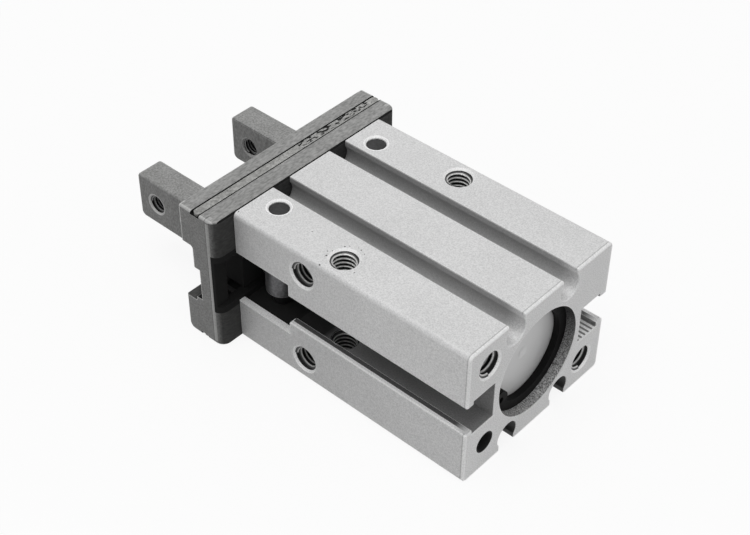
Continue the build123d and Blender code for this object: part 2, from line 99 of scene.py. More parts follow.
def addNode(tree, kind, inputs=(), **settings):  # inputs maps a socket to a value or to another's output
    node = tree.nodes.new(kind)
    for key, value in settings.items():
        setattr(node, key, value)
    for socket, value in dict(inputs).items():
        if isinstance(value, bpy.types.NodeSocket):
            tree.links.new(value, node.inputs[socket])
        else:
            node.inputs[socket].default_value = value
    return node


def objectSpot(tree):
    return addNode(tree, "ShaderNodeTexCoord").outputs["Object"]


def noise(tree, spot, scale, detail, stretch=(1, 1, 1)):  # the scale is per metre
    mapped = addNode(tree, "ShaderNodeMapping", {"Vector": spot, "Scale": stretch})
    inputs = {"Vector": mapped.outputs[0], "Scale": scale, "Detail": detail}
    return addNode(tree, "ShaderNodeTexNoise", inputs).outputs["Fac"]


def maths(tree, operation, a, b=0.0, clamp=False):
    return addNode(tree, "ShaderNodeMath", {0: a, 1: b}, operation=operation, use_clamp=clamp).outputs[0]


def spread(tree, value, low, high, toLow=0.0, toHigh=1.0):  # straight remap, held at both ends
    inputs = {"Value": value, "From Min": low, "From Max": high, "To Min": toLow, "To Max": toHigh}
    return addNode(tree, "ShaderNodeMapRange", inputs).outputs[0]


def colourInput(value):  # a plain colour gets its alpha
    return value if isinstance(value, bpy.types.NodeSocket) else (*value, 1)


def mixColours(tree, amount, first, second):
    inputs = {0: amount, 6: colourInput(first), 7: colourInput(second)}
    return addNode(tree, "ShaderNodeMix", inputs, data_type="RGBA").outputs[2]


def bump(tree, height, strength, distance):
    inputs = {"Strength": strength, "Distance": distance, "Height": height}
    return addNode(tree, "ShaderNodeBump", inputs).outputs[0]


def axes(tree, spot):
    return addNode(tree, "ShaderNodeSeparateXYZ", {0: spot}).outputs


def facing(tree, axis):  # 1 where a face looks along this axis, either way
    normal = addNode(tree, "ShaderNodeTexCoord").outputs["Normal"]
    return maths(tree, "ABSOLUTE", axes(tree, normal)[axis])


def squares(tree, a, b):
    return maths(tree, "ADD", maths(tree, "MULTIPLY", a, a), maths(tree, "MULTIPLY", b, b))


def axisRadius(tree, y, z):  # distance from the cylinder's axis
    return maths(tree, "SQRT", squares(tree, y, z))


def dim(tree, colour, factor):  # the same colour, lighter or darker
    inputs = {0: colour, "Scale": factor}
    return addNode(tree, "ShaderNodeVectorMath", inputs, operation="SCALE").outputs[0]


def allOf(tree, first, *others):  # 1 only where every mask is 1
    for other in others:
        first = maths(tree, "MULTIPLY", first, other)
    return first


def anyOf(tree, first, *others):
    for other in others:
        first = maths(tree, "MAXIMUM", first, other)
    return first


def under(tree, value, limit):
    return maths(tree, "LESS_THAN", value, limit)


def over(tree, value, limit):
    return maths(tree, "GREATER_THAN", value, limit)


def between(tree, value, limits):
    return allOf(tree, over(tree, value, limits[0]), under(tree, value, limits[1]))


def inCircle(tree, a, b, centreA, centreB, radius):  # 1 inside a round hole along the third axis
    across = maths(tree, "SUBTRACT", a, centreA)
    upward = maths(tree, "SUBTRACT", b, centreB)
    return under(tree, squares(tree, across, upward), radius * radius)


def edgeHighlight(tree, radius, lean):  # painted highlight: 1 along sharp edges, where a rounded normal leans off the real one
    rounded = addNode(tree, "ShaderNodeBevel", {"Radius": radius}, samples=4).outputs[0]
    real = addNode(tree, "ShaderNodeNewGeometry").outputs["Normal"]
    turned = addNode(tree, "ShaderNodeVectorMath", {0: rounded, 1: real}, operation="DOT_PRODUCT")
    return spread(tree, turned.outputs["Value"], *lean)


def setShader(tree, shader, look, shade, rough, texture):
    tree.links.new(shade, shader.inputs["Base Color"])
    shader.inputs["Metallic"].default_value = look["metal"]
    shader.inputs["Specular IOR Level"].default_value = look["specular"]
    if isinstance(rough, bpy.types.NodeSocket):
        tree.links.new(rough, shader.inputs["Roughness"])
    else:
        shader.inputs["Roughness"].default_value = rough
    tree.links.new(bump(tree, texture, look["bump"], look["depth"]), shader.inputs["Normal"])


mostNoise = (0.30, 0.70)  # nearly all of a noise texture lies between these

# Tapped holes as the CAD has them; the dark bores in the body's finish and the threads both use them
tappedHoles = {
    "startDepth": 0.45 * mm,    # below the mouth, where the countersink ends
    "topX": 24.45 * mm, "topY": 12 * mm, "slotRoof": 3.1 * mm,
    "sideX": 29.4 * mm, "sideZ": 8 * mm, "sideLength": 3.6 * mm,
    "rearY": 11 * mm, "rearZ": 7.5 * mm, "rearLength": 6.6 * mm,
    "portX": (8 * mm, 19 * mm), "portZ": 7.5 * mm, "portLength": 3.4 * mm,
    "shine": {1: 1.0, -1: 0.80}, "sideShine": 0.80,     # the crests' painted highlight strength above, underneath and aside
}
fingerHoles = {
    "count": 2, "fromTip": 4 * mm, "pitch": 7 * mm, "startDepth": 0.3 * mm,
    "outerFace": 12.15 * mm, "blade": 4.7 * mm,
}

# Body: clear anodised aluminium with a fine blasted grain; bores, slots, grooves and chamber get painted
# shade, edges, rims, lips and ledges painted highlights
bodyLook = {
    "colour": (0.74, 0.74, 0.74),
    "cloud": (0.705, 0.705, 0.705),
    "cloudNoise": (90, 4),              # a noise's scale and detail
    "cloudRange": (0.35, 0.65),         # the part of that noise that is used
    # the painted highlights' colour on edges, rims, lips and ledges
    "highlight": (0.98, 0.98, 0.98),
    # painted shade inside the slots, on the lips, in the chamber and in the bores
    "slot": (0.25, 0.25, 0.25),
    "slotWall": (0.90, 0.90, 0.90),     # painted light on the slot's inner wall, lighter near the rear
    "slotBand": (0.95, 0.95, 0.95),     # bright stripes at the far slot's rear mouth
    "bandPitch": 0.80 * mm,
    "bandRange": (-0.5, 0.1),           # the part of a sine wave that rises from dark to bright
    "slotDeep": (0.03, 0.03, 0.03),
    "lip": (0.10, 0.10, 0.10),
    "chamber": (0.018, 0.018, 0.018),
    "hole": (0.022, 0.022, 0.022),
    "registerDark": (0.16, 0.16, 0.16),
    "registerLight": (0.62, 0.62, 0.62),
    "registerNoise": (5200, 2),
    "registerRange": (0.36, 0.64),
    "registerTop": 0.16,                # the register's wall is painted darker towards its top as shade, by this share
    "groove": 0.62,                     # painted shade: shares of the outer colour left in the switch grooves above
    "grooveUnder": 0.05,                # and underneath
    "sideFacing": (0.6, 0.95),          # from which tilt a face counts as a side
    "sideFront": 0.78,                  # painted shade: share of the colour left at the front of the two sides
    "sideLow": 0.87,                    # and on their lower halves
    "speck": (0.05, 0.05, 0.05),
    "speckNoise": (1700, 1),
    "fewNicks": (0.77, 0.79),           # the noise at which a nick starts
    "manyNicks": (0.66, 0.69),
    "sideRim": 0.5,                     # how far the side holes' countersinks are painted bright
    "rearEdge": 0.50,                   # how far the rear edges are painted bright
    "rearLine": 0.72,                   # and how much of the colour is left in the painted dark line beside them
    "metal": 0.12,
    "specular": 0.35,
    "roughness": (0.41, 0.53),
    "roughNoise": (700, 3),
    "grainNoise": (5200, 2),
    "grainRange": (0.83, 1.14),
    "bump": 0.6,
    "depth": 0.014 * mm,
    "edge": 0.24 * mm,
    "edgeLean": (0.985, 0.84),
}
bodyPlaces = {  # where the nicks, the painted shade and the painted highlights go, as the CAD has them
    "rear": 0.12 * mm,          # slots, grooves and register start this far in
    "hair": 0.015 * mm,         # an outer face itself is left out by this much
    "sideFade": (8 * mm, 40 * mm), "lowFade": (-3 * mm, 3 * mm),
    "rearEdge": 0.38 * mm, "rearLine": 0.55 * mm,
    "nickX": 22 * mm, "nickY": 9 * mm, "nickZ": 11.2 * mm, "nickRadius": 3.1 * mm,
    "cornerX": 40.6 * mm, "cornerY": 13.2 * mm,
    "grooveY": 5.8 * mm, "grooveHalf": 2.1 * mm, "grooveZ": (7.4 * mm, 11.78 * mm),
    "grooveFade": (0.6 * mm, 3.2 * mm),
    "lipHalf": 2.53 * mm, "lipDark": 14.65 * mm, "lipFade": (0.6 * mm, 2.5 * mm),
    "slotHalf": 3.13 * mm, "slotOuter": 13.92 * mm, "slotFade": (25.4 * mm, 27.4 * mm),
    "slotInner": 9.4 * mm, "wallFade": (0.5 * mm, 12 * mm), "bandFade": (2.5 * mm, 6 * mm),
    "registerReach": 8.95 * mm, "registerEnd": 1.7 * mm, "registerRise": (-7 * mm, 3 * mm),
    "ledgeHalf": 4.68 * mm, "ledgeInner": 14.1 * mm,
    "chamberRear": 32.0 * mm, "chamberHalf": 5.23 * mm, "chamberOuter": 14.13 * mm,
    "holeRadius": 2.06 * mm, "rimRadius": 2.36 * mm, "portRadius": 2.56 * mm,
    "skin": 0.34 * mm, "rimSkin": 0.5 * mm,     # depths at which the bores' painted shade starts and the rims' painted highlight ends
    "sideInner": 10 * mm, "rearEnd": 9 * mm,
    "shaftX": 38.6 * mm, "shaftY": 10.1 * mm, "shaftRim": 1.9 * mm, "shaftSkin": 0.6 * mm,
    "dowelY": 11 * mm, "dowelZ": -7 * mm, "dowelRim": 1.70 * mm,
}


# Each of the next functions takes the shade so far and the spot as x, y, z, |y| and |z|
def nickTop(tree, shade, at, look, p, h):  # a few nicks, more at the front corner and round one hole
    x, y, z = at[:3]
    specks = noise(tree, objectSpot(tree), *look["speckNoise"])
    few, many = spread(tree, specks, *look["fewNicks"]), spread(tree, specks, *look["manyNicks"])
    onTop = over(tree, z, p["nickZ"])
    along = allOf(tree, few, over(tree, x, p["nickX"]), over(tree, y, p["nickY"]))
    corner = allOf(tree, many, onTop, over(tree, x, p["cornerX"]), over(tree, y, p["cornerY"]))
    hole = inCircle(tree, x, y, h["topX"], h["topY"], p["nickRadius"])
    roundHole = allOf(tree, many, onTop, over(tree, y, 0.0), hole)
    return mixColours(tree, anyOf(tree, along, corner, roundHole), shade, look["speck"])


def shadeSides(tree, shade, at, look, p):  # painted shade darker to the front and below, painted highlight along the rear edges with a painted dark line beside them
    x, _, z, width, height = at
    share = maths(tree, "MULTIPLY", spread(tree, x, *p["sideFade"], 1.0, look["sideFront"]),
                  spread(tree, z, *p["lowFade"], look["sideLow"], 1.0))
    onSide = spread(tree, facing(tree, 1), *look["sideFacing"])
    shade = mixColours(tree, onSide, shade, dim(tree, shade, share))
    outline = anyOf(tree, over(tree, width, bodyHigh.y - p["rearEdge"]),
                    over(tree, height, bodyHigh.z - p["rearEdge"]))
    edge = allOf(tree, under(tree, x, p["rearEdge"]), outline, look["rearEdge"])
    shade = mixColours(tree, edge, shade, look["highlight"])
    beside = allOf(tree, between(tree, x, (p["rearEdge"], p["rearLine"])), outline)
    return mixColours(tree, beside, shade, dim(tree, shade, look["rearLine"]))


# painted shade in the switch grooves: darker in from the rear mouth above, nearly black underneath
def shadeGrooves(tree, shade, at, look, p):
    x, _, z, width, height = at
    fromMiddle = maths(tree, "ABSOLUTE", maths(tree, "SUBTRACT", width, p["grooveY"]))
    groove = allOf(tree, under(tree, fromMiddle, p["grooveHalf"]), between(tree, height, p["grooveZ"]),
                   over(tree, x, p["rear"]))
    above = allOf(tree, groove, over(tree, z, 0.0), spread(tree, x, *p["grooveFade"]))
    shade = mixColours(tree, above, shade, dim(tree, shade, look["groove"]))
    below = allOf(tree, groove, under(tree, z, 0.0))
    return mixColours(tree, below, shade, dim(tree, shade, look["grooveUnder"])), groove


def shadeSlots(tree, shade, at, look, p):  # painted shade on the lips with a painted highlight on their outer edge, painted shade inside with the inner wall painted lighter towards the rear, and bright stripes at the far side's rear mouth
    x, y, _, width, height = at
    mouth = allOf(tree, under(tree, height, p["lipHalf"]), under(tree, width, bodyHigh.y - p["hair"]),
                  spread(tree, x, *p["lipFade"]))
    lip = mixColours(tree, over(tree, width, p["lipDark"]), look["lip"], look["highlight"])
    shade = mixColours(tree, mouth, shade, lip)
    wall = mixColours(tree, spread(tree, x, *p["wallFade"]), look["slotWall"], look["slot"])
    inside = mixColours(tree, under(tree, width, p["slotInner"]), look["slot"], wall)
    wave = maths(tree, "SINE", maths(tree, "MULTIPLY", y, 2 * pi / look["bandPitch"]))
    bands = allOf(tree, spread(tree, wave, *look["bandRange"]), under(tree, y, 0.0),
                  spread(tree, x, *p["bandFade"], 1.0, 0.0))
    inside = mixColours(tree, bands, inside, look["slotBand"])
    inside = mixColours(tree, spread(tree, x, *p["slotFade"]), inside, look["slotDeep"])
    slot = allOf(tree, under(tree, height, p["slotHalf"]), under(tree, width, p["slotOuter"]),
                 over(tree, x, p["rear"]))
    return mixColours(tree, slot, shade, inside), slot


def shadeRegister(tree, shade, at, look, p):  # the rough speckled wall round the cap, painted darker towards its top as shade, then painted shade in the cylinder
    x, y, z = at[:3]
    bored = allOf(tree, under(tree, axisRadius(tree, y, z), p["registerReach"]), over(tree, x, p["rear"]))
    coarse = spread(tree, noise(tree, objectSpot(tree), *look["registerNoise"]), *look["registerRange"])
    wall = mixColours(tree, coarse, look["registerDark"], look["registerLight"])
    wall = dim(tree, wall, spread(tree, z, *p["registerRise"], 1.0, look["registerTop"]))
    wall = mixColours(tree, over(tree, x, p["registerEnd"]), wall, look["hole"])
    return mixColours(tree, bored, shade, wall), bored


def shadeChamber(tree, shade, at, look, p):  # painted shade behind the windows, with a painted highlight on the ledge round them
    x, _, _, width, height = at
    inFront = over(tree, x, p["chamberRear"])
    ledge = allOf(tree, inFront, under(tree, height, p["ledgeHalf"]),
                  between(tree, width, (p["ledgeInner"], bodyHigh.y - p["hair"])))
    shade = mixColours(tree, ledge, shade, look["highlight"])
    chamber = allOf(tree, inFront, under(tree, height, p["chamberHalf"]),
                    under(tree, width, p["chamberOuter"]))
    return mixColours(tree, chamber, shade, look["chamber"]), chamber


def shadeHoles(tree, shade, at, look, p, h):  # painted highlights on the countersinks and round the shaft's hole, then painted shade in the bores and round the dowel hole's edge
    x, y, z, width, height = at
    top = (x, width, h["topX"], h["topY"])
    side = (x, height, h["sideX"], h["sideZ"])
    rear = (width, height, h["rearY"], h["rearZ"])
    topSkin = between(tree, height, (bodyHigh.z - p["rimSkin"], bodyHigh.z - p["hair"]))
    sideSkin = between(tree, width, (bodyHigh.y - p["rimSkin"], bodyHigh.y - p["hair"]))
    rearSkin = between(tree, x, (p["hair"], p["rimSkin"]))
    rims = anyOf(tree, allOf(tree, inCircle(tree, *top, p["rimRadius"]), topSkin),
                 allOf(tree, inCircle(tree, *side, p["rimRadius"]), sideSkin, look["sideRim"]),
                 allOf(tree, inCircle(tree, *rear, p["rimRadius"]), rearSkin),
                 allOf(tree, inCircle(tree, x, width, p["shaftX"], p["shaftY"], p["shaftRim"]),
                       over(tree, height, bodyHigh.z - p["shaftSkin"])))
    shade = mixColours(tree, rims, shade, look["highlight"])
    topBores = allOf(tree, inCircle(tree, *top, p["holeRadius"]),
                     under(tree, height, bodyHigh.z - p["skin"]))
    sideBores = allOf(tree, inCircle(tree, *side, p["holeRadius"]),
                      between(tree, width, (p["sideInner"], bodyHigh.y - p["skin"])))
    rearBores = allOf(tree, inCircle(tree, *rear, p["holeRadius"]),
                      between(tree, x, (p["skin"], p["rearEnd"])))
    firstPort, lastPort = h["portX"]
    fromMiddle = maths(tree, "ABSOLUTE", maths(tree, "SUBTRACT", x, (firstPort + lastPort) / 2))
    port = (fromMiddle, z, (lastPort - firstPort) / 2, h["portZ"])
    ports = allOf(tree, inCircle(tree, *port, p["portRadius"]),
                  between(tree, y, (bodyLow.y + p["skin"], -p["sideInner"])))
    dowel = allOf(tree, inCircle(tree, y, z, p["dowelY"], p["dowelZ"], p["dowelRim"]),
                  under(tree, x, p["rearEnd"]))
    bores = anyOf(tree, topBores, sideBores, rearBores, ports, dowel)
    return mixColours(tree, bores, shade, look["hole"]), bores, dowel


def bodyFinish(look, p, h):
    material, tree, shader = newFinish("bodyFinish")
    spot = objectSpot(tree)
    x, y, z = axes(tree, spot)
    at = (x, y, z, maths(tree, "ABSOLUTE", y), maths(tree, "ABSOLUTE", z))
    cloud = spread(tree, noise(tree, spot, *look["cloudNoise"]), *look["cloudRange"])
    shade = mixColours(tree, cloud, look["colour"], look["cloud"])
    shade = nickTop(tree, shade, at, look, p, h)
    shade = shadeSides(tree, shade, at, look, p)
    shade, groove = shadeGrooves(tree, shade, at, look, p)
    shade, slot = shadeSlots(tree, shade, at, look, p)
    shade, bored = shadeRegister(tree, shade, at, look, p)
    shade, chamber = shadeChamber(tree, shade, at, look, p)
    shade, bores, dowel = shadeHoles(tree, shade, at, look, p, h)
    grain = noise(tree, spot, *look["grainNoise"])
    shade = dim(tree, shade, spread(tree, grain, *mostNoise, *look["grainRange"]))
    inner = anyOf(tree, slot, bored, chamber, groove, dowel)
    outside = maths(tree, "SUBTRACT", 1.0, inner, True)
    # painted highlight along the outer sharp edges
    highlight = allOf(tree, edgeHighlight(tree, look["edge"], look["edgeLean"]), outside)
    shade = mixColours(tree, highlight, shade, look["highlight"])
    rough = spread(tree, noise(tree, spot, *look["roughNoise"]), *mostNoise, *look["roughness"])
    rough = anyOf(tree, rough, bores, chamber, slot)  # no reflections deep inside
    setShader(tree, shader, look, shade, rough, grain)
    return material


# Steel of the guide and the fingers: ground and darkened, with a fine mottled grain; painted shade on upright
# faces and in hollows, painted highlights along edges
steelLook = {
    "stretch": (1, 1, 1),               # the grain runs along an axis where this is below 1
    "colour": (0.32, 0.32, 0.315),
    "dark": (0.26, 0.26, 0.255),
    "mottleNoise": (420, 5),
    "side": 0.62,                       # painted shade: share of the colour on faces that stand upright
    "topFacing": (0.3, 0.9),            # from which tilt a face counts as lying flat
    # the painted highlights' colour on edges and bright places
    "highlight": (0.82, 0.82, 0.81),
    # the colour of the dark places: painted shade, and on the strip its scuffs
    "inside": (0.014, 0.014, 0.014),
    "metal": 0.22,
    "specular": 0.22,
    "roughness": (0.37, 0.50),
    "roughNoise": (900, 3),
    "grainNoise": (3300, 3),
    "grainRange": (0.68, 1.28),
    "bump": 0.6,
    "depth": 0.014 * mm,
    "edge": 0.26 * mm,
    "edgeLean": (0.985, 0.80),
    "edgeShare": 0.9,
}


def steelFinish(name, look, findPlaces=None):  # findPlaces gives the masks of dark places (painted shade, on the strip its scuffs) and of painted highlights
    material, tree, shader = newFinish(name)
    spot, stretch = objectSpot(tree), look["stretch"]
    mottle = spread(tree, noise(tree, spot, *look["mottleNoise"], stretch), *mostNoise)
    shade = mixColours(tree, mottle, look["dark"], look["colour"])
    # painted shade: upright faces darker than flat ones
    shade = dim(tree, shade, spread(tree, facing(tree, 2), *look["topFacing"], look["side"], 1.0))
    grain = noise(tree, spot, *look["grainNoise"], stretch)
    shade = dim(tree, shade, spread(tree, grain, *mostNoise, *look["grainRange"]))
    dark, bright = findPlaces(tree, spot) if findPlaces else (0.0, 0.0)
    # painted highlights along edges and bright places, then the dark places
    edges = maths(tree, "MULTIPLY", edgeHighlight(tree, look["edge"], look["edgeLean"]), look["edgeShare"])
    shade = mixColours(tree, anyOf(tree, edges, bright), shade, look["highlight"])
    shade = mixColours(tree, dark, shade, look["inside"])
    rough = spread(tree, noise(tree, spot, *look["roughNoise"], stretch), *mostNoise, *look["roughness"])
    setShader(tree, shader, look, shade, anyOf(tree, rough, dark), grain)
    return material


guideLook = {**steelLook, "stretch": (1, 0.4, 1)}
guidePlaces = {
    "hair": 0.02 * mm,                                      # the front and the ends are left out by this much
    "rearFace": (42.9 * mm, 44.0 * mm), "rearShare": 0.80,  # painted shade behind, fading out round the corner
    "rearTop": 11.45 * mm, "gapLine": 42.70 * mm,           # the top face gets painted shade only next to the body
    "slotHalf": 5.3 * mm, "slotFront": 47.3 * mm,
    "channelHalf": 5.22 * mm, "channelShare": 0.7,
    "stripX": (45.50 * mm, 47.24 * mm), "stripFloor": 11.2 * mm,
    "endDepth": 1 * mm,                                     # what counts as the end's face
    "band": (43.65 * mm, 44.30 * mm), "bandShare": 0.22,    # a painted highlight band where the end turns to the rear
    "line": (44.30 * mm, 44.42 * mm), "lineShare": 0.5,     # and a painted dark line of shade in front of it
    "frontEdge": 49.36 * mm, "frontShare": 0.5,
    "topRim": 0.35 * mm, "rimShare": 0.35, "rimLine": (11.15 * mm, 11.38 * mm),
}


def guideMarks(tree, spot):  # painted shade in the slot, the channels, the strip seat and next to the body; painted highlights on edges
    p = guidePlaces
    x, y, z = axes(tree, spot)
    width, height = maths(tree, "ABSOLUTE", y), maths(tree, "ABSOLUTE", z)
    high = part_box("guide")[1]
    front, end = high.x - p["hair"], high.y - p["hair"]
    notTop, onTop = under(tree, height, p["rearTop"]), over(tree, height, p["rearTop"])
    rear = allOf(tree, spread(tree, x, *p["rearFace"], p["rearShare"], 0.0), notTop)
    gap = allOf(tree, under(tree, x, p["gapLine"]), onTop)
    within, onEnd = under(tree, width, end), over(tree, width, end - p["endDepth"])
    slot = allOf(tree, under(tree, height, p["slotHalf"]), under(tree, x, p["slotFront"]), within)
    channel = allOf(tree, under(tree, height, p["channelHalf"]), between(tree, x, (p["slotFront"], front)),
                    within, p["channelShare"])
    strip = allOf(tree, between(tree, x, p["stripX"]), over(tree, height, p["stripFloor"]))
    line = allOf(tree, between(tree, x, p["line"]), onEnd, p["lineShare"])
    rimLine = allOf(tree, between(tree, height, p["rimLine"]), under(tree, x, p["line"][1]), onEnd,
                    p["lineShare"])
    band = allOf(tree, between(tree, x, p["band"]), onEnd, p["bandShare"])
    frontEdge = allOf(tree, over(tree, x, p["frontEdge"]), over(tree, z, 0.0), onEnd, p["frontShare"])
    topRim = allOf(tree, over(tree, width, end - p["topRim"]), onTop, p["rimShare"])
    dark = anyOf(tree, rear, gap, slot, channel, strip, line, rimLine)
    return dark, anyOf(tree, band, frontEdge, topRim)


fingerLook = {**steelLook, "stretch": (1, 1, 0.6)}
fingerPlaces = {
    "sliderFront": 47.5 * mm,
    "holeRadius": 1.55 * mm, "boreY": (7.75 * mm, 11.9 * mm),
    "rimRadius": 1.85 * mm, "rimY": 11.8 * mm, "rimShare": 0.4,
    "edgeTop": 3.82 * mm, "edgeY": 7.62 * mm, "edgeShare": 0.6,     # a painted dark line of shade on the inner upper edge
}


def holeCentres(tip, h):  # the finger's two threads, counted from its tip
    return [tip - h["fromTip"] - step * h["pitch"] for step in range(h["count"])]


def fingerMarks(tree, spot):  # painted shade on the slider, in the bores and along the inner upper edge; painted highlights on the countersinks
    p = fingerPlaces
    x, y, z = axes(tree, spot)
    width = maths(tree, "ABSOLUTE", y)
    centres = holeCentres(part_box("finger_left")[1].x, fingerHoles)
    bores = anyOf(tree, *[inCircle(tree, x, z, centre, 0.0, p["holeRadius"]) for centre in centres])
    rims = anyOf(tree, *[inCircle(tree, x, z, centre, 0.0, p["rimRadius"]) for centre in centres])
    edge = allOf(tree, over(tree, z, p["edgeTop"]), under(tree, width, p["edgeY"]), p["edgeShare"])
    dark = anyOf(tree, under(tree, x, p["sliderFront"]),
                 allOf(tree, bores, between(tree, width, p["boreY"])), edge)
    return dark, allOf(tree, rims, over(tree, width, p["rimY"]), p["rimShare"])


stripPlaces = {
    "scuffY": (-17.5 * mm, -2 * mm), "scuffX": 45.95 * mm,
    "noise": (2300, 3), "stretch": (1, 0.35, 1), "range": (0.50, 0.54),
}


def stripMarks(tree, spot):  # dark scuffs along the far half of the strip
    p = stripPlaces
    x, y = axes(tree, spot)[:2]
    scuffs = spread(tree, noise(tree, spot, *p["noise"], p["stretch"]), *p["range"])
    return allOf(tree, scuffs, between(tree, y, p["scuffY"]), over(tree, x, p["scuffX"])), 0.0


stripLook = {
    **steelLook,
    "colour": (0.40, 0.40, 0.39),
    "dark": (0.26, 0.26, 0.25),
    "side": 1.0,
    "highlight": (0.62, 0.62, 0.61),
    "inside": (0.02, 0.02, 0.02),
    "metal": 0.3,
    "specular": 0.3,
    "roughness": (0.45, 0.58),
    "grainNoise": (2600, 3),
    "grainRange": (0.6, 1.3),
    "depth": 0.03 * mm,
    "edge": 0.05 * mm,
}

hardLook = {
    **steelLook,
    "colour": (0.17, 0.17, 0.175),
    "dark": (0.11, 0.11, 0.115),
    "side": 1.0,
    "highlight": (0.55, 0.55, 0.55),
    "metal": 0.6,
    "specular": 0.3,
    "roughness": (0.33, 0.46),
    "grainNoise": (2400, 3),
    "grainRange": (0.7, 1.25),
    "depth": 0.006 * mm,
    "edge": 0.22 * mm,
}

shaftLook = {
    **hardLook,
    "colour": (0.036, 0.036, 0.037),
    "dark": (0.014, 0.014, 0.014),
    "highlight": (0.03, 0.03, 0.03),
    "metal": 0.2,
    "specular": 0.2,
}

# Turned aluminium of the cap, cover and piston: fine rings round the cylinder's axis, with painted shade
# darker towards the rim
turnedLook = {
    "colour": (0.66, 0.66, 0.66),
    "dark": (0.56, 0.56, 0.56),
    "darkFade": (4.0 * mm, 8.2 * mm),   # painted shade, from the middle outwards
    "pitch": 0.16 * mm,
    "wobble": 0.4 * mm,
    "wobbleNoise": (60, 2),
    "metal": 0.25,
    "specular": 0.5,
    "roughness": 0.40,
    "bump": 0.25,
    "depth": 0.004 * mm,
}


def turnedFinish(look):
    material, tree, shader = newFinish("turnedFinish")
    spot = objectSpot(tree)
    _, y, z = axes(tree, spot)
    radius = axisRadius(tree, y, z)
    wobble = maths(tree, "MULTIPLY", noise(tree, spot, *look["wobbleNoise"]), look["wobble"])
    turns = maths(tree, "MULTIPLY", maths(tree, "ADD", radius, wobble), 2 * pi / look["pitch"])
    shade = mixColours(tree, spread(tree, radius, *look["darkFade"]), look["colour"], look["dark"])
    setShader(tree, shader, look, shade, look["roughness"], maths(tree, "SINE", turns))
    return material


# Even finishes with a fine uneven surface, for the screws, the rod and the pieces of rubber
evenLook = {
    "specular": 0.5,
    "bump": 0.4,
    "dull": 0.8,        # shares of the colour in the darkest and the lightest spots
    "light": 1.25,
}
screwLook = dict(evenLook, colour=(0.20, 0.20, 0.205), metal=0.9, roughness=(0.30, 0.42), noise=(1500, 3),
                 depth=0.005 * mm)
rodLook = dict(evenLook, colour=(0.75, 0.76, 0.78), metal=1.0, roughness=(0.07, 0.19), noise=(900, 3),
               depth=0.001 * mm)
ringLook = dict(evenLook, colour=(0.004, 0.004, 0.004), metal=0.0, roughness=(0.57, 0.69), noise=(1800, 3),
                depth=0.008 * mm, specular=0.12)
magnetLook = dict(evenLook, colour=(0.10, 0.10, 0.10), metal=0.2, roughness=(0.55, 0.67), noise=(1500, 3),
                  depth=0.01 * mm)
sealLook = dict(evenLook, colour=(0.02, 0.02, 0.02), metal=0.0, roughness=(0.50, 0.62), noise=(1200, 3),
                depth=0.01 * mm)


def evenFinish(name, look):
    material, tree, shader = newFinish(name)
    texture = noise(tree, objectSpot(tree), *look["noise"])
    light = tuple(min(1.0, part * look["light"]) for part in look["colour"])
    dull = tuple(part * look["dull"] for part in look["colour"])
    shade = mixColours(tree, spread(tree, texture, *mostNoise), dull, light)
    setShader(tree, shader, look, shade, spread(tree, texture, *mostNoise, *look["roughness"]), texture)
    return material


finishes = {
    "body": bodyFinish(bodyLook, bodyPlaces, tappedHoles),
    "guide": steelFinish("guideFinish", guideLook, guideMarks),
    "finger": steelFinish("fingerFinish", fingerLook, fingerMarks),
    "strip": steelFinish("stripFinish", stripLook, stripMarks),
    "hardened": steelFinish("hardenedFinish", hardLook),
    "shaft": steelFinish("shaftFinish", shaftLook),
    "fastener": evenFinish("screwFinish", screwLook),
    "rod": evenFinish("rodFinish", rodLook),
    "cap": turnedFinish(turnedLook),
    "ring": evenFinish("ringFinish", ringLook),
    "magnet": evenFinish("magnetFinish", magnetLook),
    "seal": evenFinish("sealFinish", sealLook),
}

# Nodes whose finish isn't the one of their slot
ownFinish = {"lever_shaft_left": "shaft", "lever_shaft_right": "shaft", "roller_stoppers": "shaft"}
for subpart in frame["record"]["subparts"]:
    shown = cadNodes[subpart["node"]]
    shown.data.materials.clear()
    shown.data.materials.append(finishes[ownFinish.get(subpart["node"], subpart["material_slot"])])
print("finishes given to", len(cadNodes), "nodes")


# Threads: a ridge wound along each tapped hole, from the bored wall in to the thread's crest
threadSizes = {
    "M3": {"bore": 1.5 * mm, "crest": 1.24 * mm, "pitch": 0.5 * mm},
    "M4": {"bore": 2.0 * mm, "crest": 1.64 * mm, "pitch": 0.7 * mm},
    "M5": {"bore": 2.5 * mm, "crest": 2.1 * mm, "pitch": 0.8 * mm},
}
threadShape = {
    "steps": 28,                # to each turn
    "sink": 0.03 * mm,          # how far the ridge's foot goes into the wall
    "foot": 0.74,               # shares of the pitch
    "top": 0.20,
}
threadLook = {
    "crest": (0.98, 0.98, 0.97),
    "valley": (0.02, 0.02, 0.02),
    "rise": (0.5, 0.95),        # where the flank turns from painted shade to painted highlight, on its way from foot to crest
    "metal": 0.15,
    "specular": 0.5,
    "roughness": 0.30,
    "grainNoise": (2600, 3),
    "grainRange": (0.75, 1.1),
    "bump": 0.5,
    "depth": 0.008 * mm,
}
fingerThreadLook = dict(threadLook, crest=(0.28, 0.28, 0.28))


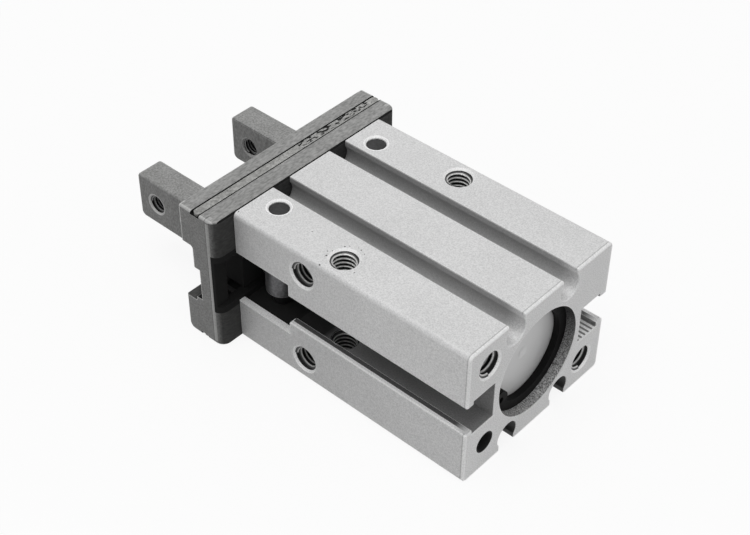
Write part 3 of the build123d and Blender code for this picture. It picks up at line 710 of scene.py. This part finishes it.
def windThread(bm, size, mouth, inward, depth, shine=1.0):
    s = threadSizes[size]
    foot, top = s["pitch"] * threadShape["foot"] / 2, s["pitch"] * threadShape["top"] / 2
    outside = s["bore"] + threadShape["sink"]
    ridge = bmesh.new()
    crest = ridge.verts.layers.float.new("crest")
    profile = ((outside, 0, -foot), (s["crest"], 0, -top), (s["crest"], 0, top), (outside, 0, foot))
    corners = [ridge.verts.new(corner) for corner in profile]
    corners[1][crest] = corners[2][crest] = shine
    rim = [ridge.edges.new(pair) for pair in zip(corners, corners[1:] + corners[:1])]
    turns = depth / s["pitch"]
    steps = round(turns * threadShape["steps"])
    bmesh.ops.spin(ridge, geom=corners + rim, cent=(0, 0, 0), axis=(0, 0, 1), angle=2 * pi * turns,
                   dvec=(0, 0, depth / steps), steps=steps)
    bmesh.ops.holes_fill(ridge, edges=[e for e in ridge.edges if e.is_boundary], sides=len(corners))
    bmesh.ops.recalc_face_normals(ridge, faces=ridge.faces)
    turn = Vector((0, 0, 1)).rotation_difference(Vector(inward)).to_matrix().to_4x4()
    ridge.transform(Matrix.Translation(Vector(mouth)) @ turn)
    mesh = bpy.data.meshes.new("ridge")
    ridge.to_mesh(mesh)
    ridge.free()
    bm.from_mesh(mesh)
    bpy.data.meshes.remove(mesh)


def threadFinish(name, look):  # painted highlight along the crests that the tap cut, painted shade in between
    material, tree, shader = newFinish(name)
    crest = addNode(tree, "ShaderNodeAttribute", attribute_name="crest").outputs["Fac"]
    texture = noise(tree, objectSpot(tree), *look["grainNoise"])
    shade = mixColours(tree, spread(tree, crest, *look["rise"]), look["valley"], look["crest"])
    shade = dim(tree, shade, spread(tree, texture, *mostNoise, *look["grainRange"]))
    setShader(tree, shader, look, shade, look["roughness"], texture)
    return material


def finishPiece(name, bm, material, body):
    mesh = bpy.data.meshes.new(name)
    bm.to_mesh(mesh)
    bm.free()
    mesh.materials.append(material)
    piece = bpy.data.objects.new(name, mesh)
    bpy.context.scene.collection.objects.link(piece)
    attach(piece, body)


def threadBody(h, material):
    bm = bmesh.new()
    start = h["startDepth"]
    leg = bodyHigh.z - h["slotRoof"] - 2 * start
    for side in (-1, 1):
        for level in (-1, 1):
            windThread(bm, "M4", (h["topX"], side * h["topY"], level * (bodyHigh.z - start)),
                       (0, 0, -level), leg, h["shine"][level])
            windThread(bm, "M4", (h["sideX"], side * (bodyHigh.y - start), level * h["sideZ"]),
                       (0, -side, 0), h["sideLength"], h["sideShine"])
        windThread(bm, "M4", (start, side * h["rearY"], side * h["rearZ"]), (1, 0, 0), h["rearLength"])
    for x in h["portX"]:
        windThread(bm, "M5", (x, bodyLow.y + start, h["portZ"]), (0, 1, 0), h["portLength"])
    finishPiece("body_threads", bm, material, "root")


def threadFinger(node, h, material):
    low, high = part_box(node)
    side = 1 if low.y > 0 else -1
    start = h["startDepth"]
    bm = bmesh.new()
    for x in holeCentres(high.x, h):
        windThread(bm, "M3", (x, side * (h["outerFace"] - start), 0), (0, -side, 0), h["blade"] - 2 * start)
    finishPiece(node + "_threads", bm, material, node)


threadBody(tappedHoles, threadFinish("bodyThreadFinish", threadLook))
fingerThreadFinish = threadFinish("fingerThreadFinish", fingerThreadLook)
for fingerNode in ("finger_left", "finger_right"):
    threadFinger(fingerNode, fingerHoles, fingerThreadFinish)
print("threads wound")

# Floor, world and lamps
stageLook = {
    "floorColour": (0.60, 0.60, 0.60),
    "floorSeen": (0.97, 0.97, 0.97),    # its colour where the camera and the reflections see it
    "floorGlow": 0.89,      # share of plain white there, the rest takes the light and the shadow
    "floorRoughness": 0.9,
    "floorHalf": 1.5,
    "worldGrey": (0.42, 0.42, 0.42),
    "white": (1.0, 1.0, 1.0),
}
lamps = {
    "overhead": {"spot": (0.04, 0.12, 0.60), "size": 0.40, "power": 1.42},
    "left": {"spot": (0.00, 0.60, 0.22), "size": 0.45, "power": 0.10},
    "rear": {"spot": (-0.55, 0.05, 0.22), "size": 0.45, "power": 0.40},
    "front": {"spot": (0.48, -0.42, 0.20), "size": 0.45, "power": 0.26},
}


def seenDirectly(tree):  # 1 for the camera, for reflections and for what shows through glass
    paths = addNode(tree, "ShaderNodeLightPath").outputs
    return anyOf(tree, paths["Is Camera Ray"], paths["Is Glossy Ray"], paths["Is Transmission Ray"])


def glowing(tree, kind, colour):
    return addNode(tree, kind, {"Color": colourInput(colour), "Strength": 1.0}).outputs[0]


def layFloor(look):
    bm = bmesh.new()
    bmesh.ops.create_grid(bm, x_segments=1, y_segments=1, size=look["floorHalf"])
    bmesh.ops.translate(bm, verts=bm.verts, vec=(0, 0, bodyLow.z))
    mesh = bpy.data.meshes.new("floor")
    bm.to_mesh(mesh)
    bm.free()
    material, tree, shader = newFinish("floorFinish")
    direct = seenDirectly(tree)
    colour = mixColours(tree, direct, look["floorColour"], look["floorSeen"])
    tree.links.new(colour, shader.inputs["Base Color"])
    shader.inputs["Roughness"].default_value = look["floorRoughness"]
    glow = glowing(tree, "ShaderNodeEmission", look["white"])
    share = maths(tree, "MULTIPLY", direct, look["floorGlow"])
    both = addNode(tree, "ShaderNodeMixShader", {0: share, 1: shader.outputs[0], 2: glow})
    output = next(n for n in tree.nodes if n.type == "OUTPUT_MATERIAL")
    tree.links.new(both.outputs[0], output.inputs[0])
    mesh.materials.append(material)
    floor = bpy.data.objects.new("floor", mesh)
    bpy.context.scene.collection.objects.link(floor)


def lightWorld(look):
    world = bpy.data.worlds.new("studio")
    bpy.context.scene.world = world
    world.use_nodes = True
    tree = world.node_tree
    tree.nodes.clear()
    output = tree.nodes.new("ShaderNodeOutputWorld")
    plain = glowing(tree, "ShaderNodeBackground", look["worldGrey"])
    white = glowing(tree, "ShaderNodeBackground", look["white"])
    both = addNode(tree, "ShaderNodeMixShader", {0: seenDirectly(tree), 1: plain, 2: white})
    tree.links.new(both.outputs[0], output.inputs[0])


def hangLamp(name, lamp):
    data = bpy.data.lights.new(name, "AREA")
    data.shape = "SQUARE"
    data.size = lamp["size"]
    data.energy = lamp["power"]
    light = bpy.data.objects.new(name, data)
    spot = Vector(lamp["spot"])
    aim = (Vector(cameraView["target"]) - spot).to_track_quat("-Z", "Y")
    light.matrix_world = Matrix.Translation(spot) @ aim.to_matrix().to_4x4()
    bpy.context.scene.collection.objects.link(light)


layFloor(stageLook)
lightWorld(stageLook)
for lampName, lamp in lamps.items():
    hangLamp(lampName, lamp)
bpy.context.scene.view_settings.view_transform = "Standard"
print("floor and lamps set")
